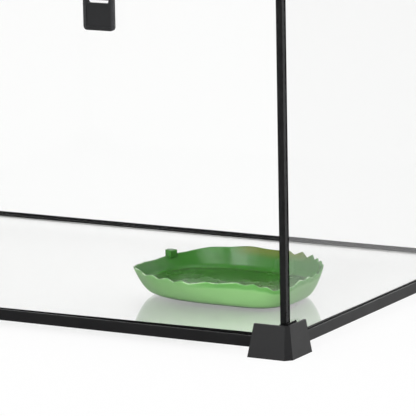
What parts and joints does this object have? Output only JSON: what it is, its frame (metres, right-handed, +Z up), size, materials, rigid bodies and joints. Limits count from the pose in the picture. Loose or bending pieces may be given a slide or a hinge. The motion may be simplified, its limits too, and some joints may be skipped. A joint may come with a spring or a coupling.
{
  "type": "glass terrarium",
  "caption": "Low glass terrarium with black corner feet, bottom trim, a top rim, a hinged screen lid with snap latches, and a green leaf-shaped water dish.",
  "frame": {"origin": "on the ground under the middle of the tank", "axes": "+X along the tank's width, -Y the front with the latches, +Z up"},
  "size_m": [0.5, 0.3, 0.25],
  "materials": {
    "glass": "clear float glass with ground edges",
    "silicone": "black silicone, slightly glossy",
    "trim": "black moulded plastic",
    "foot": "fine-textured black moulded plastic",
    "rim": "black moulded plastic",
    "latch": "satin black moulded plastic",
    "screen": "black coated woven aluminium wire",
    "pin": "bright steel",
    "dish": "glossy mottled green glaze"
  },
  "bodies": {
    "tank": {"glass_front": "glass", "glass_back": "glass", "glass_left": "glass", "glass_right": "glass", "glass_floor": "glass", "seal_front_left": "silicone", "seal_front_right": "silicone", "seal_back_left": "silicone", "seal_back_right": "silicone", "seal_floor": "silicone", "trim_front": "trim", "trim_back": "trim", "trim_left": "trim", "trim_right": "trim", "foot_front_left": "foot", "foot_front_right": "foot", "foot_back_left": "foot", "foot_back_right": "foot", "top_rim": "rim", "hinge_pin_left": "pin", "hinge_pin_right": "pin"},
    "lid": {"lid_frame": "rim", "lid_screen": "screen", "screen_ring": "rim", "ring_screws": "pin", "latch_pin_left": "pin", "latch_pin_right": "pin"},
    "latch_l": {"latch_left": "latch"},
    "latch_r": {"latch_right": "latch"},
    "dish": {"leaf_dish": "dish"}
  },
  "joints": [
    {"name": "lid_hinge", "type": "hinge", "parent": "tank", "child": "lid", "pos_m": [0, 0.1474, 0.2476], "axis": [-1, 0, 0], "range_deg": [0, 105]},
    {"name": "latch_left_pivot", "type": "hinge", "parent": "lid", "child": "latch_l", "pos_m": [-0.115, -0.1474, 0.2475], "axis": [-1, 0, 0], "range_deg": [0, 150]},
    {"name": "latch_right_pivot", "type": "hinge", "parent": "lid", "child": "latch_r", "pos_m": [0.115, -0.1474, 0.2475], "axis": [-1, 0, 0], "range_deg": [0, 150]},
    {"name": "dish_lift", "type": "slide", "parent": "tank", "child": "dish", "axis": [0, 0, 1], "range_m": [0, 0.19]}
  ]
}
